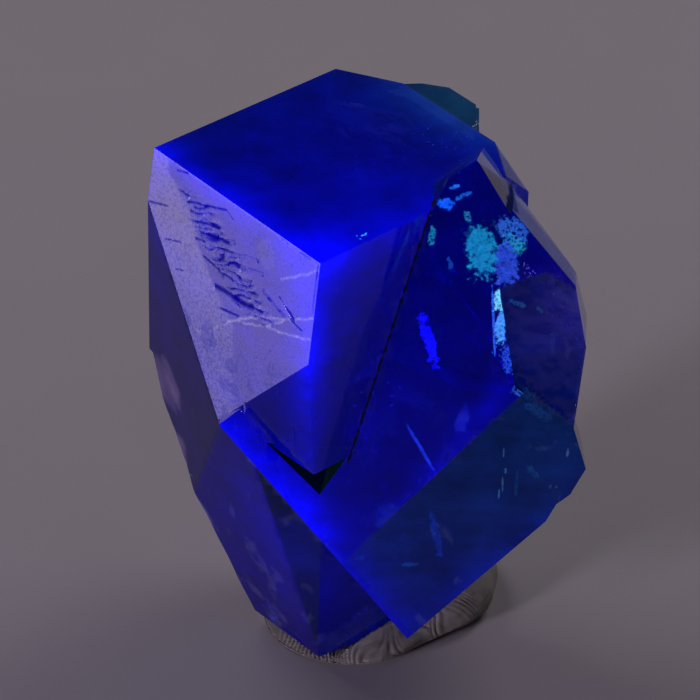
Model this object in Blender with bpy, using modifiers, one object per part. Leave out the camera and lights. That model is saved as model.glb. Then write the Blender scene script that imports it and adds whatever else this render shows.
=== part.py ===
"""Raw fluorite: a penetration twin of two cubes, standing on a lump of mineral tack.

Every form is set out in millimetres along the first cube and then placed in metres.
Cube axes: X runs right and back, Y left and back, Z up, from the near top corner.
Twin axes: U runs up and left, V up and right, W away from the front, from the same corner.
"""
import random
from math import atan2, cos, exp, radians, sin

import bmesh
import bpy
from mathutils import Euler, Matrix, Vector, noise

MM = 0.001
START_SIZE = 160.0              # block that every flat-sided form is cut from
SKIN = 0.06                     # how far a buried flat stays inside the one that covers it

# Where the near top corner of the first cube stands, and how the cube is turned
CORNER = (-5.02, -10.70, 43.11)
CUBE_TURN = (1.62, 2.01, 41.53)
TWIN_LEAN = (-4.7, 3.2, 2.4)    # how far the second cube is off the exact twin position

# Upper part of the first cube
CUBE_DEPTH = 21.3               # top face to the exposed bottom corner
CUBE_BACK = 20.5                # near corner to the left back face
CUBE_RIGHT = 22.6               # near corner to the broken right back
LEFT_LEAN = 0.08                # outward lean of the etched left face
BACK_LEAN = 0.05

# Lower part, grown parallel to it
FOOT = (2.07, 0.0, -42.1)       # its lowest near corner
FRONT_TURN = 0.15
LOWER_RIGHT = 17.5

# Second cube
TWIN_FRONT = 8.17               # distance of its front face from the near top corner
TWIN_BACK = 21.0
TWIN_LEFT = 18.12
TWIN_RIGHT = 12.5
TWIN_LOW = 32.6
LOW_SLANT = 0.085
TWIN_STEP = 7.9                 # its upper left face beside the left corner
SPUR_DROP = 0.75                # how far the broken right corner lies behind the front face
RIM_FALL = 0.043                # slope of the ground below the slab
HOLLOW_DEPTH = 1.9

# Surfaces broken through the mass: size of the facets and height of the steps
BREAK_CELL = 1.25
BREAK_HEIGHT = 1.2
CHIP_CELL = 1.0
CHIP_HEIGHT = 0.75
BROAD_WAVES = 0.085             # noise cycles per millimetre
SMALL_WAVES = 0.31
TREAD_SHARE = 0.55              # flat part of each cleavage step
RISER_SHARE = 0.35
LUMP_ROUNDING = 0.8

# Etched left face
MOUND_RADII = (0.3, 3.3, 3.6)
MOUND_PLACE = (0.0, 2.6, -2.4)
SLOT_SIZE = (0.6, 3.1, 0.55)
SLOT_PLACE = (0.0, 4.65, -6.3)
SLOT_SLANT = 17.0
RIDGE_ROWS = 4
RIDGES_IN_ROW = 3
FIRST_RIDGE = (13.2, -3.2)      # along Y and Z
RIDGE_STEP = (-2.7, -0.35)
ROW_STEP = (-0.75, -0.85)
RIDGE_LENGTH = (1.0, 2.1)
RIDGE_WIDTH = 0.3
RIDGE_HEIGHT = 0.13
RIDGE_SLANT = 16.0
RIDGE_TILT = 25.0

# Mineral tack
TACK_RADIUS = 10.2
TACK_DENT = 2.1                 # pressed in at the right front
DENT_TURN = (-58.0, 32.0)       # where round the pad, and how wide, in degrees
TACK_BULGE = 0.8                # squeezed out at the left front
BULGE_TURN = (-145.0, 25.0)
TACK_UNEVEN = 0.35
TACK_HEIGHT = 2.7
TACK_SLOPE = (0.15, 0.12)
TACK_THINNEST = 1.0
TACK_FLANK = 0.62               # share of the height above the widest line
GAP = 0.3


def clear_scene():
    for thing in list(bpy.data.objects):
        bpy.data.objects.remove(thing, do_unlink=True)


def new_collection(name):
    group = bpy.data.collections.new(name)
    bpy.context.scene.collection.children.link(group)
    return group


def new_material(name, colour, roughness, transmission=0.0, ior=1.5):
    material = bpy.data.materials.new(name)
    material.use_nodes = True
    shader = material.node_tree.nodes["Principled BSDF"]
    shader.inputs["Base Color"].default_value = (*colour, 1.0)
    shader.inputs["Roughness"].default_value = roughness
    shader.inputs["Metallic"].default_value = 0.0
    shader.inputs["Transmission Weight"].default_value = transmission
    shader.inputs["IOR"].default_value = ior
    material.diffuse_color = (*colour, 1.0)
    return material


def add_object(name, shape, frame, group):
    """Turn a shape drawn in millimetres into an object in metres."""
    bmesh.ops.transform(shape, matrix=frame @ Matrix.Scale(MM, 4), verts=shape.verts)
    bmesh.ops.recalc_face_normals(shape, faces=shape.faces)
    mesh = bpy.data.meshes.new(name)
    shape.to_mesh(mesh)
    shape.free()
    thing = bpy.data.objects.new(name, mesh)
    group.objects.link(thing)
    if group is shaping:
        thing.hide_render = True
        thing.display_type = "WIRE"
    return thing


def slice_off(shape, point, outward):
    """Cut a closed shape with a plane and close it again."""
    bmesh.ops.bisect_plane(
        shape,
        geom=shape.verts[:] + shape.edges[:] + shape.faces[:],
        dist=1e-5,
        plane_co=point,
        plane_no=outward,
        clear_outer=True,
    )
    rim = [edge for edge in shape.edges if edge.is_boundary]
    if rim:
        bmesh.ops.holes_fill(shape, edges=rim, sides=0)


def along_twin(flats):
    """Turn flats given along the second cube into the first cube's axes."""
    return [(twin_turn @ Vector(point), twin_turn @ Vector(outward)) for point, outward in flats]


def flat_sided(name, flats, group, spread=0.0):
    """A solid bounded by planes, each given as a point and its outward direction."""
    shape = bmesh.new()
    bmesh.ops.create_cube(shape, size=START_SIZE)
    for point, direction in flats:
        outward = Vector(direction).normalized()
        slice_off(shape, Vector(point) + outward * spread, outward)
    return add_object(name, shape, cube_frame, group)


def combine(target, other, operation):
    modifier = target.modifiers.new(other.name, "BOOLEAN")
    modifier.operation = operation
    modifier.solver = "EXACT"
    modifier.object = other


def stepped(value, tread):
    """Gather a smooth height into treads with slanting risers, as cleavage breaks."""
    level = value / tread
    floor = level // 1
    rise = min(max((level - floor - TREAD_SHARE) / RISER_SHARE, 0.0), 1.0)
    return (floor + rise) * tread


def broken_cutter(name, centre, outward, size, cell, height, shift):
    """A cutter whose inner face is a rough break through the point given."""
    shape = bmesh.new()
    bmesh.ops.create_grid(
        shape, x_segments=int(size[0] / cell), y_segments=int(size[1] / cell), size=0.5
    )
    bmesh.ops.scale(shape, vec=(size[0], size[1], 1.0), verts=shape.verts)
    for vert in shape.verts:
        place = vert.co + Vector(shift)
        broad = noise.noise(place * BROAD_WAVES) * height * 1.7
        small = noise.noise(place * SMALL_WAVES) * height * 0.5
        vert.co.z = stepped(broad, height * 0.42) + small
    raised = bmesh.ops.extrude_face_region(shape, geom=shape.faces[:])["geom"]
    for vert in [item for item in raised if isinstance(item, bmesh.types.BMVert)]:
        vert.co.z = max(size)
    turn = Vector(outward).to_track_quat("Z", "Y").to_matrix().to_4x4()
    frame = cube_frame @ Matrix.Translation(Vector(centre) * MM) @ turn
    return add_object(name, shape, frame, shaping)


clear_scene()
specimen = new_collection("raw_fluorite")
shaping = new_collection("shaping")

cube_frame = Matrix.Translation(Vector(CORNER) * MM) @ Euler(
    [radians(angle) for angle in CUBE_TURN], "XYZ"
).to_matrix().to_4x4()

# The twin law: half a turn about the cube's body diagonal
twin_turn = Matrix.Rotation(radians(180.0), 3, Vector((1.0, 1.0, 1.0))) @ Euler(
    [radians(angle) for angle in TWIN_LEAN], "XYZ"
).to_matrix()

fluorite_look = new_material("uv_lit_fluorite", (0.0, 0.0, 0.55), 0.08, 0.85, 1.434)
tack_look = new_material("kneaded_mineral_tack", (0.62, 0.60, 0.56), 0.7)

etched_left = ((0.0, 0.0, 0.0), (-1.0, 0.0, LEFT_LEAN))
left_break = ((-0.4, 20.7, -5.4), (-0.981, 0.186, -0.054))
under_slope = ((0.0, 17.7, -29.8), (0.0, 0.838, -0.545))

# Lower part, kept behind the second cube's front and under the first cube's bottom face
lower_flats = [
    left_break,
    (FOOT, (-0.987, -0.043, -0.157)),
    (FOOT, (-0.985, -0.085, -0.147)),
    (FOOT, (-FRONT_TURN, -1.0, 0.0)),
    (FOOT, (0.0, 0.0, -1.0)),
    ((0.0, 21.4, -20.0), (0.0, 0.998, BACK_LEAN)),
    ((0.0, 21.4, -20.0), (0.0, 0.935, -0.353)),
    under_slope,
    ((LOWER_RIGHT, 0.0, -30.0), (0.96, 0.1, -0.25)),
    ((0.0, 0.0, 0.6 - CUBE_DEPTH), (0.0, 0.0, 1.0)),
] + along_twin([
    ((0.0, 0.0, TWIN_FRONT + SKIN), (0.0, 0.0, -1.0)),
    ((0.0, -TWIN_LEFT, TWIN_FRONT + SKIN), (0.0, -0.36, -0.94)),
])
fluorite = flat_sided("fluorite", lower_flats, specimen)

# Second cube, with its right corner broken away
low_corner = ((-31.3, -2.5, 0.0), (-0.923, 0.385, 0.0))
right_turn = ((0.0, TWIN_RIGHT, 11.5), (0.0, 0.994, 0.11))
right_fall = ((-10.0, TWIN_RIGHT - 0.25, 13.7), (-0.14, 0.90, 0.43))
twin_flats = along_twin([
    ((0.0, 0.0, TWIN_FRONT), (0.0, 0.0, -1.0)),
    ((0.0, 0.0, TWIN_BACK), (0.0, 0.0, 1.0)),
    ((0.0, -TWIN_LEFT, 0.0), (0.0, -1.0, 0.0)),
    ((0.0, TWIN_RIGHT, 0.0), (0.0, 1.0, 0.0)),
    right_turn,
    right_fall,
    ((-TWIN_STEP, 0.0, 0.0), (1.0, 0.0, 0.0)),
    ((-TWIN_LOW, -TWIN_LEFT, 0.0), (-1.0, LOW_SLANT, 0.0)),
    low_corner,
    ((-25.9, 4.7, 0.0), (-0.714, 0.70, 0.0)),
    ((-20.9, 9.8, 0.0), (-0.486, 0.874, 0.0)),
])
twin_body = flat_sided("twin_body", twin_flats, shaping)
combine(fluorite, twin_body, "UNION")

twin_spur = flat_sided("twin_spur", along_twin([
    ((0.0, 0.0, TWIN_FRONT + SPUR_DROP), (0.0, 0.0, -1.0)),
    ((0.0, 0.0, 16.0), (0.0, 0.0, 1.0)),
    ((-29.2, 4.0, 0.0), (-0.923, 0.385, 0.0)),
    ((-29.2, 4.0, 0.0), (-0.382, 0.924, 0.08)),
    ((-30.6, 0.0, 0.0), (-1.0, 0.0, 0.0)),
    ((0.0, -3.5, 0.0), (0.0, -1.0, 0.0)),
    ((-21.0, 0.0, 0.0), (1.0, 0.0, 0.0)),
]), shaping)
combine(fluorite, twin_spur, "UNION")

# Lower ground to the right of the raised slab on the twin's front, and below it
worn_right = flat_sided("worn_right", along_twin([
    ((-9.4, 9.0, TWIN_FRONT + SKIN), (0.029, 0.078, 1.0)),
    ((-19.4, 3.04, 0.0), (0.495, -0.869, 0.06)),
    ((-9.4, 0.0, 0.0), (1.0, 0.3, 0.1)),
    ((-19.1, 3.0, 0.0), (-0.234, -0.972, 0.0)),
    ((0.0, 0.0, 1.0), (0.0, 0.0, -1.0)),
    ((0.0, 30.0, 0.0), (0.0, 1.0, 0.0)),
    ((-52.0, 0.0, 0.0), (-1.0, 0.0, 0.0)),
]), shaping)
combine(fluorite, worn_right, "DIFFERENCE")
worn_low = flat_sided("worn_low", along_twin([
    ((0.0, 0.6 - TWIN_LEFT, TWIN_FRONT), (0.0, -RIM_FALL, 1.0)),
    ((-20.9, -0.5, 0.0), (0.99, -0.137, 0.06)),
    ((-19.1, 3.1, 0.0), (0.234, 0.972, 0.0)),
    ((0.0, 0.0, 1.0), (0.0, 0.0, -1.0)),
    ((0.0, -30.0, 0.0), (0.0, -1.0, 0.0)),
    ((-52.0, 0.0, 0.0), (-1.0, 0.0, 0.0)),
]), shaping)
combine(fluorite, worn_low, "DIFFERENCE")

# Crest of the twin, which breaks through the first cube's top face
twin_crest = flat_sided("twin_crest", [
    ((14.6, 2.8, 0.0), (-0.155, 0.70, 0.695)),
    ((11.7, -0.1, -0.1), (-0.664, 0.652, 0.364)),
] + along_twin([
    ((0.0, 0.0, TWIN_FRONT + 0.01), (0.0, 0.0, -1.0)),
    ((0.0, 0.0, 20.0), (0.0, 0.0, 1.0)),
    ((-6.0, TWIN_RIGHT - 0.05, 0.0), (-0.15, 1.0, 0.0)),
    right_turn,
    right_fall,
    ((0.0, -1.0, 0.0), (0.0, -1.0, 0.0)),
    ((-12.0, 0.0, 0.0), (-1.0, 0.0, 0.0)),
]), shaping)
combine(fluorite, twin_crest, "UNION")

# Dark hollow under the first cube's exposed corner
hollow = flat_sided("hollow", [
    ((0.0, 0.0, 0.5 - CUBE_DEPTH), (0.0, 0.0, 1.0)),
] + along_twin([
    ((-17.85, -15.54, TWIN_FRONT), (-0.08, -0.99, 0.28)),
    ((-17.85, -15.54, TWIN_FRONT), (-0.95, 0.31, 0.28)),
    ((-16.0, -14.0, TWIN_FRONT + HOLLOW_DEPTH), (-0.2, 0.0, 1.0)),
    ((0.0, 0.0, TWIN_FRONT - 2.0), (0.0, 0.0, -1.0)),
]), shaping)
combine(fluorite, hollow, "DIFFERENCE")

upper_cube = flat_sided("upper_cube", [
    etched_left,
    ((-0.76, 0.0, -9.47), (-0.974, -0.202, -0.0985)),
    left_break,
    ((0.0, 0.0, 0.0), (0.0, 0.0, 1.0)),
    ((0.0, 0.0, 0.0), (0.0, -1.0, 0.0)),
    ((0.0, CUBE_BACK, 0.0), (0.0, 1.0, BACK_LEAN)),
    ((CUBE_RIGHT, 0.0, 0.0), (1.0, 0.0, 0.06)),
    ((21.0, 18.1, 0.0), (0.86, 0.5, 0.05)),
    ((0.0, 0.0, -CUBE_DEPTH), (0.0, 0.0, -1.0)),
] + along_twin([
    ((0.0, TWIN_RIGHT - 0.1, 0.0), (0.0, 1.0, 0.0)),
]), shaping)
corner_chip = flat_sided("corner_chip", [
    ((-1.36, 6.63, -17.1), (0.94, 0.038, 0.34)),
    ((0.0, 6.9, 0.0), (0.0, 1.0, 0.0)),
    ((0.0, -3.0, 0.0), (0.0, -1.0, 0.0)),
    ((0.0, 0.0, -12.0), (0.0, 0.0, 1.0)),
], shaping)
combine(upper_cube, corner_chip, "DIFFERENCE")
combine(fluorite, upper_cube, "UNION")

# Two thick lumps at the right back of the top
outer_lump = flat_sided("outer_lump", [
    ((0.0, 0.0, 0.1), (0.012, 0.0, 1.0)),
    ((25.7, 10.8, 0.0), (1.0, 0.0, 0.12)),
    ((25.2, 13.5, 0.0), (0.80, 0.60, 0.1)),
    ((23.3, 15.4, 0.0), (0.55, 0.83, 0.1)),
    ((25.2, 8.8, 0.0), (0.72, -0.69, 0.1)),
    ((22.3, 6.7, 0.0), (0.2, -0.98, 0.1)),
    ((18.0, 0.0, 0.0), (-1.0, 0.0, 0.0)),
    ((0.0, 18.6, 0.0), (0.0, 1.0, 0.0)),
    ((0.0, 0.0, -9.5), (0.3, 0.0, -1.0)),
], shaping)
inner_lump = flat_sided("inner_lump", [
    ((0.0, 0.0, -0.4), (0.0, 0.05, 1.0)),
    ((24.9, 5.6, 0.0), (0.98, 0.2, 0.15)),
    ((22.5, 8.3, 0.0), (0.22, 0.97, 0.15)),
    ((24.2, 4.1, 0.0), (0.80, -0.60, 0.1)),
    ((17.0, 0.0, 0.0), (-1.0, 0.0, 0.0)),
    ((0.0, 2.6, 0.0), (0.1, -1.0, 0.0)),
    ((0.0, 0.0, -7.5), (0.3, 0.0, -1.0)),
], shaping)
for lump in (outer_lump, inner_lump):
    rounding = lump.modifiers.new("rounding", "BEVEL")
    rounding.width = LUMP_ROUNDING * MM
    rounding.segments = 2
    rounding.limit_method = "ANGLE"
    rounding.angle_limit = radians(20.0)
    combine(fluorite, lump, "UNION")

# The broken back, and the chipped slope at the lower left
back_break = broken_cutter(
    "back_break", (21.0, 9.2, -20.0), (0.84, 0.41, -0.35),
    (62.0, 62.0), BREAK_CELL, BREAK_HEIGHT, (3.1, 7.7, 1.9),
)
combine(fluorite, back_break, "DIFFERENCE")
left_chips = broken_cutter(
    "left_chips", (5.0, 15.3, -32.8), (-0.10, 0.855, -0.51),
    (36.0, 26.0), CHIP_CELL, CHIP_HEIGHT, (11.3, 2.7, 5.1),
)
combine(fluorite, left_chips, "DIFFERENCE")

# Etched left face: a low mound beside the corner, a slot and rows of small slanting ridges
left_frame = cube_frame @ Matrix.Rotation(LEFT_LEAN, 4, "Y")
mound_shape = bmesh.new()
bmesh.ops.create_icosphere(mound_shape, subdivisions=3, radius=1.0)
bmesh.ops.scale(mound_shape, vec=MOUND_RADII, verts=mound_shape.verts)
bmesh.ops.translate(mound_shape, vec=MOUND_PLACE, verts=mound_shape.verts)
slice_off(mound_shape, Vector((0.0, 0.0, -0.15)), Vector((0.0, 0.0, 1.0)))
slice_off(mound_shape, Vector((0.0, 0.15, 0.0)), Vector((0.0, -1.0, 0.0)))
mound = add_object("mound", mound_shape, left_frame, shaping)
combine(fluorite, mound, "UNION")

slot_shape = bmesh.new()
bmesh.ops.create_cube(slot_shape, size=1.0)
bmesh.ops.scale(slot_shape, vec=SLOT_SIZE, verts=slot_shape.verts)
bmesh.ops.transform(
    slot_shape,
    matrix=Matrix.Translation(SLOT_PLACE) @ Matrix.Rotation(radians(SLOT_SLANT), 4, "X"),
    verts=slot_shape.verts,
)
slot = add_object("slot", slot_shape, left_frame, shaping)
combine(fluorite, slot, "DIFFERENCE")

chance = random.Random(4)
ridge_shape = bmesh.new()
for row in range(RIDGE_ROWS):
    for place in range(RIDGES_IN_ROW):
        length = chance.uniform(*RIDGE_LENGTH)
        across, height = (
            first + place * along + row * down
            for first, along, down in zip(FIRST_RIDGE, RIDGE_STEP, ROW_STEP)
        )
        across += chance.uniform(-0.15, 0.15)
        height += chance.uniform(-0.08, 0.08)
        if across < 7.8 and height < -5.0:
            continue            # the slot is here
        ridge = bmesh.ops.create_cube(ridge_shape, size=1.0)["verts"]
        bmesh.ops.scale(ridge_shape, vec=(RIDGE_HEIGHT * 2.0, length, RIDGE_WIDTH), verts=ridge)
        bmesh.ops.transform(
            ridge_shape,
            matrix=Matrix.Translation((0.0, across, height))
            @ Matrix.Rotation(radians(-RIDGE_SLANT), 4, "X")
            @ Matrix.Rotation(radians(RIDGE_TILT), 4, "Y"),
            verts=ridge,
        )
ridges = add_object("ridges", ridge_shape, left_frame, shaping)
combine(fluorite, ridges, "UNION")
fluorite.data.materials.append(fluorite_look)



def swelling(turn, place):
    """How much of a dent or bulge is felt at this turn round the pad."""
    return exp(-((turn - radians(place[0])) / radians(place[1])) ** 2)


# Mineral tack: a kneaded pad, thin under the near foot and thicker towards the right and back
tack_shape = bmesh.new()
bmesh.ops.create_uvsphere(tack_shape, u_segments=56, v_segments=20, radius=1.0)
for vert in tack_shape.verts:
    turn = atan2(vert.co.y, vert.co.x)
    reach = TACK_RADIUS
    reach -= TACK_DENT * swelling(turn, DENT_TURN)
    reach += TACK_BULGE * swelling(turn, BULGE_TURN)
    reach += TACK_UNEVEN * noise.noise(vert.co * 2.3 + Vector((5.3, 1.1, 8.7)))
    spread = vert.co.xy.length ** 0.6 * reach
    vert.co.x = spread * cos(turn)
    vert.co.y = spread * sin(turn)
    height = TACK_HEIGHT + TACK_SLOPE[0] * vert.co.x + TACK_SLOPE[1] * vert.co.y
    vert.co.z = (vert.co.z * TACK_FLANK + 1.0 - TACK_FLANK) * max(height, TACK_THINNEST)
slice_off(tack_shape, Vector((0.0, 0.0, 0.0)), Vector((0.0, 0.0, -1.0)))
tack = add_object("mineral_tack", tack_shape, Matrix.Identity(4), specimen)
tack.data.materials.append(tack_look)
for name, flats in (("lower_socket", lower_flats), ("twin_socket", twin_flats)):
    socket = flat_sided(name, flats, shaping, spread=GAP)
    combine(tack, socket, "DIFFERENCE")
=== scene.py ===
from math import atan2, cos, pi, radians, sin

import bmesh
import bpy
import numpy as np
from mathutils import Euler, Matrix, Vector, noise
from mathutils.bvhtree import BVHTree


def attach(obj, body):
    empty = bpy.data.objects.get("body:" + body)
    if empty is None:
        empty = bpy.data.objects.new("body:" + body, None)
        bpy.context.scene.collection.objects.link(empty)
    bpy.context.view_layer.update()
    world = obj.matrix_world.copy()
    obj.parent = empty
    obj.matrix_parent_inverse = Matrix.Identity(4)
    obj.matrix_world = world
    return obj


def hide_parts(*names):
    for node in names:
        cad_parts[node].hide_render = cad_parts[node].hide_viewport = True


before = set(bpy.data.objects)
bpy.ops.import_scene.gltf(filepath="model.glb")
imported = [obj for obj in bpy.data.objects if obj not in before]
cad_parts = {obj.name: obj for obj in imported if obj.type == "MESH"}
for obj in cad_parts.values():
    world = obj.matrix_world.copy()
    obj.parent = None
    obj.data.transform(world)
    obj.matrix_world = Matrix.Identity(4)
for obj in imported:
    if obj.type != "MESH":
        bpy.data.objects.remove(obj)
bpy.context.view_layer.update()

mm = 0.001
blenderScene = bpy.context.scene

# The crystals' own axes, in millimetres from the near top corner of the first cube:
# X right and back, Y left and back, Z up. The second cube is its twin, turned about the body diagonal.
nearCorner = Vector((-5.02, -10.70, 43.11))
cubeTurn = Euler([radians(angle) for angle in (1.62, 2.01, 41.53)], "XYZ").to_matrix()
twinSlip = Euler([radians(angle) for angle in (-4.7, 3.2, 2.4)], "XYZ").to_matrix()     # off the exact twin
twinTurn = Matrix.Rotation(pi, 3, Vector((1.0, 1.0, 1.0))) @ twinSlip


def cubeToWorld(point):
    return (cubeTurn @ Vector(point) + nearCorner) * mm


def twinToWorld(point):
    return cubeToWorld(twinTurn @ Vector(point))


def linear(hexColour):
    # sRGB hex to the linear values that Blender mixes
    parts = [int(hexColour[place:place + 2], 16) / 255 for place in (1, 3, 5)]
    return tuple(part / 12.92 if part <= 0.04045 else ((part + 0.055) / 1.055) ** 2.4 for part in parts)


def rgba(hexColour):
    return (*linear(hexColour), 1.0)


def patternScale(size):
    return 1.0 / (size * mm)        # a texture's scale from the size of its pattern in mm


def ramp(value, start, end):
    return np.clip((value - start) / (end - start), 0.0, 1.0)


def fillNode(tree, node, inputs):
    # A value may be a number or colour, a socket, or a node, which stands for its first output
    for socket, value in inputs.items():
        if isinstance(value, bpy.types.Node):
            value = next(output for output in value.outputs if output.enabled)
        if isinstance(value, bpy.types.NodeSocket):
            tree.links.new(value, node.inputs[socket])
        else:
            node.inputs[socket].default_value = value


def addNode(tree, kind, inputs=None, **settings):
    node = tree.nodes.new("ShaderNode" + kind)
    for name, value in settings.items():
        setattr(node, name, value)
    fillNode(tree, node, inputs or {})
    return node


def newMaterial(name):
    material = bpy.data.materials.new(name)
    material.use_nodes = True
    return material, material.node_tree, material.node_tree.nodes["Principled BSDF"]


def newObject(name, mesh):
    thing = bpy.data.objects.new(name, mesh)
    blenderScene.collection.objects.link(thing)
    return thing


def newMesh(name, shape, smooth=True):
    mesh = bpy.data.meshes.new(name)
    shape.to_mesh(mesh)
    shape.free()
    mesh.polygons.foreach_set("use_smooth", np.full(len(mesh.polygons), smooth))
    return mesh


def addAttribute(mesh, name, domain, values):
    values = np.array(values, np.float32)
    kind, field = ("FLOAT_COLOR", "color") if values.ndim == 2 else ("FLOAT", "value")
    mesh.attributes.new(name, kind, domain).data.foreach_set(field, values.ravel())


# Camera, at the angle of the photograph
view = {
    "lens": 180.0,  # mm
    "sensor": 36.0,
    "clip": (10.0, 20000.0),
    "place": (-2.715, -231.967, 201.434),
    "target": (-2.715, -14.738, 37.750),
}


def makeCamera():
    data = bpy.data.cameras.new("camera")
    data.lens = view["lens"]
    data.sensor_width = view["sensor"]
    data.clip_start, data.clip_end = [distance * mm for distance in view["clip"]]
    camera = newObject("camera", data)
    place = Vector(view["place"]) * mm
    camera.location = place
    camera.rotation_euler = (Vector(view["target"]) * mm - place).to_track_quat("-Z", "Y").to_euler()
    blenderScene.camera = camera


# Dim room: two soft lamps behind, left and right, and a violet one low at the left front
studio = {
    "floorColour": "#b9b4b6",
    "floorHalf": 6000.0,  # mm
    "floorGrain": 1.111,  # mm
    "floorShade": 0.94,   # the darker tone of the grain
    "floorRoughness": 0.75,
    "room": "#5c5860",
    "roomStrength": 0.18,
    "lamps": [
        # name, place in mm, size in mm, spread in degrees, colour, watts
        ("backLeft", (-130, 140, 190), 130, 180, "#fff6ff", 0.106),
        ("backRight", (130, 140, 190), 130, 180, "#fff6ff", 0.106),
        ("leftLamp", (-380, -285, 92), 80, 50, "#efe0ff", 0.085),
    ],
    "aim": (-6, -2, 26),  # mm
}


def makeStudio():
    world = bpy.data.worlds.new("room")
    blenderScene.world = world
    world.use_nodes = True
    background = world.node_tree.nodes["Background"]
    background.inputs["Color"].default_value = rgba(studio["room"])
    background.inputs["Strength"].default_value = studio["roomStrength"]
    for name, place, size, spread, colour, watts in studio["lamps"]:
        lamp = bpy.data.lights.new(name, "AREA")
        lamp.shape = "DISK"
        lamp.size = size * mm
        lamp.spread = radians(spread)
        lamp.energy = watts
        lamp.color = linear(colour)
        light = newObject(name, lamp)
        light.location = Vector(place) * mm
        light.rotation_euler = (Vector(studio["aim"]) - Vector(place)).to_track_quat("-Z", "Y").to_euler()

    # Matt painted board: an even pale grey with a barely seen grain
    material, tree, shader = newMaterial("matteStudioFloor")
    grain = addNode(tree, "TexNoise", {"Scale": patternScale(studio["floorGrain"]), "Detail": 3.0})
    tint = addNode(tree, "Mix", {
        "Factor": grain,
        "A": rgba(studio["floorColour"]),
        "B": (*[part * studio["floorShade"] for part in linear(studio["floorColour"])], 1.0),
    }, data_type="RGBA")
    fillNode(tree, shader, {"Base Color": tint, "Roughness": studio["floorRoughness"]})
    shape = bmesh.new()
    bmesh.ops.create_grid(shape, x_segments=2, y_segments=2, size=studio["floorHalf"] * mm)
    mesh = newMesh("floor", shape, smooth=False)
    mesh.materials.append(material)
    floor = newObject("floor", mesh)


makeCamera()
makeStudio()
print("camera, lights and floor are in place")

# Fluorite: natural cube faces and their twin, flat and glassy, with an etched left face and a broken back
etchedLean = 0.08                   # how far the etched face's outward direction rises, to its run
slabDistance = -8.17                # mm, the second cube's front face from the near corner
crystal = {
    "weld": 0.003,             # mm
    "flatWithin": 0.4,         # degrees
    "pitch": {"etched": 0.115, "broken": 0.3, "plain": 0.8},  # mesh spacing in mm
    "sharpFrom": 18.0,         # degrees
    # Each named side: axes, outward direction, distance in mm, how far off a face may lie and turn
    "sides": {
        "top": ("cube", (0.0, 0.0, 1.0), 0.0, 0.02, 5.0),
        "nearFront": ("cube", (0.0, -1.0, 0.0), 0.0, 0.02, 5.0),
        "nearLeft": ("cube", (-0.974, -0.202, -0.0985), 1.67, 0.05, 3.0),
        "nearChip": ("cube", (-0.940, -0.038, -0.340), 6.84, 0.05, 3.0),
        "slab": ("twin", (0.0, 0.0, -1.0), slabDistance, 0.12, 3.0),
        "lowGround": ("twin", (0.0, 0.043, -0.999), -8.92, 0.4, 8.0),
        "worn": ("twin", (-0.029, -0.078, -0.997), -8.63, 0.5, 8.0),
        "bevel": ("twin", (0.0, 1.0, 0.0), 12.5, 0.3, 8.0),
        "leftSide": ("cube", (-0.981, 0.186, -0.054), 4.53, 0.1, 3.0),
        "lowLeft": ("cube", (-0.987, -0.043, -0.157), 4.57, 0.1, 3.0),
        "lowFront": ("cube", (-0.148, -0.989, 0.0), -0.31, 0.1, 3.0),
        "etched": ("cube", (-1.0, 0.0, etchedLean), 0.0, 0.6, 75.0),
        "hollow": ("cube", (0.382, -0.535, 0.754), -18.51, 0.1, 3.0),
        "hollowSide": ("cube", (-0.689, 0.506, 0.519), -13.90, 0.1, 3.0),
        "hollowFloor": ("cube", (-0.756, -0.537, 0.376), -13.01, 0.1, 3.0),
    },
    "shadowed": ("hollow", "hollowSide", "hollowFloor"),
    "clearSides": ("top", "etched", "nearFront", "nearLeft", "nearChip", "slab"),
    # Small facets that no side claims: beside the etched face, or part of the break behind and below
    "smallArea": 3.0,          # mm2, largest of them
    "etchedRight": 2.0,        # mm on the cube's axes, the etched face ends here
    "etchedLow": -21.0,
    "etchedOff": 0.8,
    "breakBehind": 14.0,       # mm, X and Y added
    "breakBelow": -22.0,
    # Hackly steps of the break, and the softer wear of the worn side: depth, swing, in mm
    "hackle": (0.16, 0.14),
    "hackleLevels": 3.0,
    "wear": (0.12, 0.16),
    "unevenness": (0.9, 2.3),  # per mm, wide and fine
}
etchedTilt = atan2(etchedLean, 1.0)
etchedOutward = Vector((-cos(etchedTilt), 0.0, sin(etchedTilt)))


def sideOf(face):
    # The named side that a face of the solid belongs to
    middle = cubeTurn.inverted() @ (face.calc_center_median() / mm - nearCorner)
    normal = cubeTurn.inverted() @ face.normal
    for name, (axes, direction, distance, slack, turn) in crystal["sides"].items():
        outward = Vector(direction).normalized()
        if axes == "twin":
            outward = twinTurn @ outward
        if normal.dot(outward) > cos(radians(turn)) and abs(middle.dot(outward) - distance) < slack:
            return name
    if face.calc_area() >= crystal["smallArea"] * mm * mm:
        return "plain"
    beside = middle.x < crystal["etchedRight"] and middle.z > crystal["etchedLow"]
    if beside and abs(middle.dot(etchedOutward)) < crystal["etchedOff"]:
        return "etched"
    if middle.x + middle.y > crystal["breakBehind"] or middle.z < crystal["breakBelow"]:
        return "broken"
    return "plain"


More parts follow.
